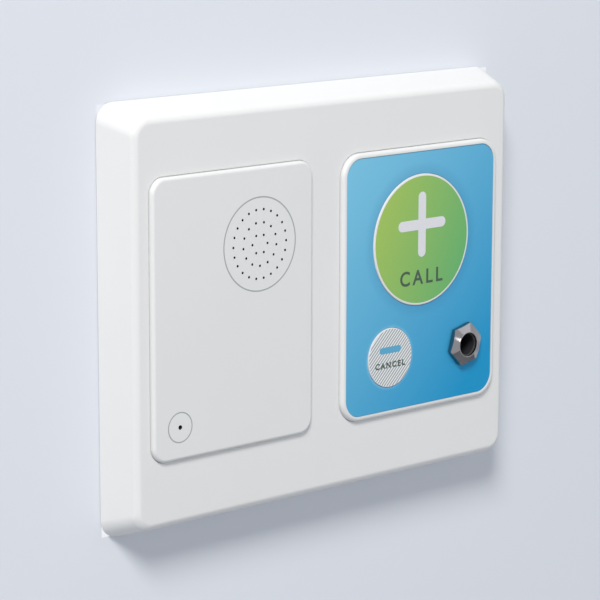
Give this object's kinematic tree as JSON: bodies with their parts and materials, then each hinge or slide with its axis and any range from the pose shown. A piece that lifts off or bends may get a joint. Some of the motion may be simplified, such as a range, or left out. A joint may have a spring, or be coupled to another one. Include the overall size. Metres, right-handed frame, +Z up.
{
  "type": "nurse call socket",
  "caption": "Landscape wall plate with a speech module and a call module: pinhole grille, large round call key, small cancel key and a quarter-inch jack socket.",
  "frame": {"origin": "middle of the plate on the wall plane, on the bracket's middle bar", "axes": "+X right as seen from the room, +Y into the wall, +Z up; the fronts face -Y"},
  "size_m": [0.162, 0.0396, 0.1296],
  "materials": {
    "white_plastic": "satin white moulding",
    "blue_fascia": "smooth blue, lighter at the top left",
    "green_key": "smooth green with a white edge",
    "pale_key": "pale grey-white with fine diagonal lines",
    "inner_plastic": "plain light grey",
    "switch_black": "black moulding",
    "plunger": "plain white",
    "rubber": "soft black rubber",
    "cone_paper": "treated black paper",
    "chrome": "bright plated",
    "steel": "zinc-plated steel",
    "brass": "phosphor bronze leaf",
    "circuit_board": "green solder resist",
    "terminal_green": "green moulding"
  },
  "bodies": {
    "socket": {"front_frame": "white_plastic", "speech_cover": "white_plastic", "call_cover": "white_plastic", "call_fascia": "blue_fascia", "speech_rear_cover": "inner_plastic", "call_rear_cover": "inner_plastic", "call_switch": "switch_black", "cancel_switch": "switch_black", "jack_body": "switch_black", "speech_amplifier": "switch_black", "speech_header": "switch_black", "speech_capacitor": "switch_black", "call_controller": "switch_black", "call_header": "switch_black", "speaker_gasket": "rubber", "microphone_boot": "rubber", "speaker_cone": "cone_paper", "jack_nut": "chrome", "jack_bush": "chrome", "wall_bracket": "steel", "wall_screw_1": "steel", "wall_screw_2": "steel", "wall_screw_3": "steel", "wall_screw_4": "steel", "speaker_basket": "steel", "speaker_magnet": "steel", "speaker_retainer": "steel", "retainer_screw_1": "steel", "retainer_screw_2": "steel", "speech_case_screw_1": "steel", "speech_case_screw_2": "steel", "speech_case_screw_3": "steel", "speech_case_screw_4": "steel", "call_case_screw_1": "steel", "call_case_screw_2": "steel", "call_case_screw_3": "steel", "call_case_screw_4": "steel", "microphone_capsule": "steel", "jack_lock_washer": "steel", "terminal_screw_1": "steel", "terminal_screw_2": "steel", "terminal_screw_3": "steel", "terminal_screw_4": "steel", "tip_contact": "brass", "ring_contact": "brass", "sleeve_contact": "brass", "speech_board": "circuit_board", "call_board": "circuit_board", "terminal_block": "terminal_green"},
    "call_button": {"call_key": "green_key", "call_switch_plunger": "plunger"},
    "cancel_button": {"cancel_key": "pale_key", "cancel_switch_plunger": "plunger"}
  },
  "joints": [
    {"name": "call_press", "type": "slide", "parent": "socket", "child": "call_button", "axis": [0, 1, 0], "range_m": [0, 0.0008], "stiffness_N_per_m": 600, "springref_m": -0.002},
    {"name": "cancel_press", "type": "slide", "parent": "socket", "child": "cancel_button", "axis": [0, 1, 0], "range_m": [0, 0.0006], "stiffness_N_per_m": 500, "springref_m": -0.002}
  ]
}
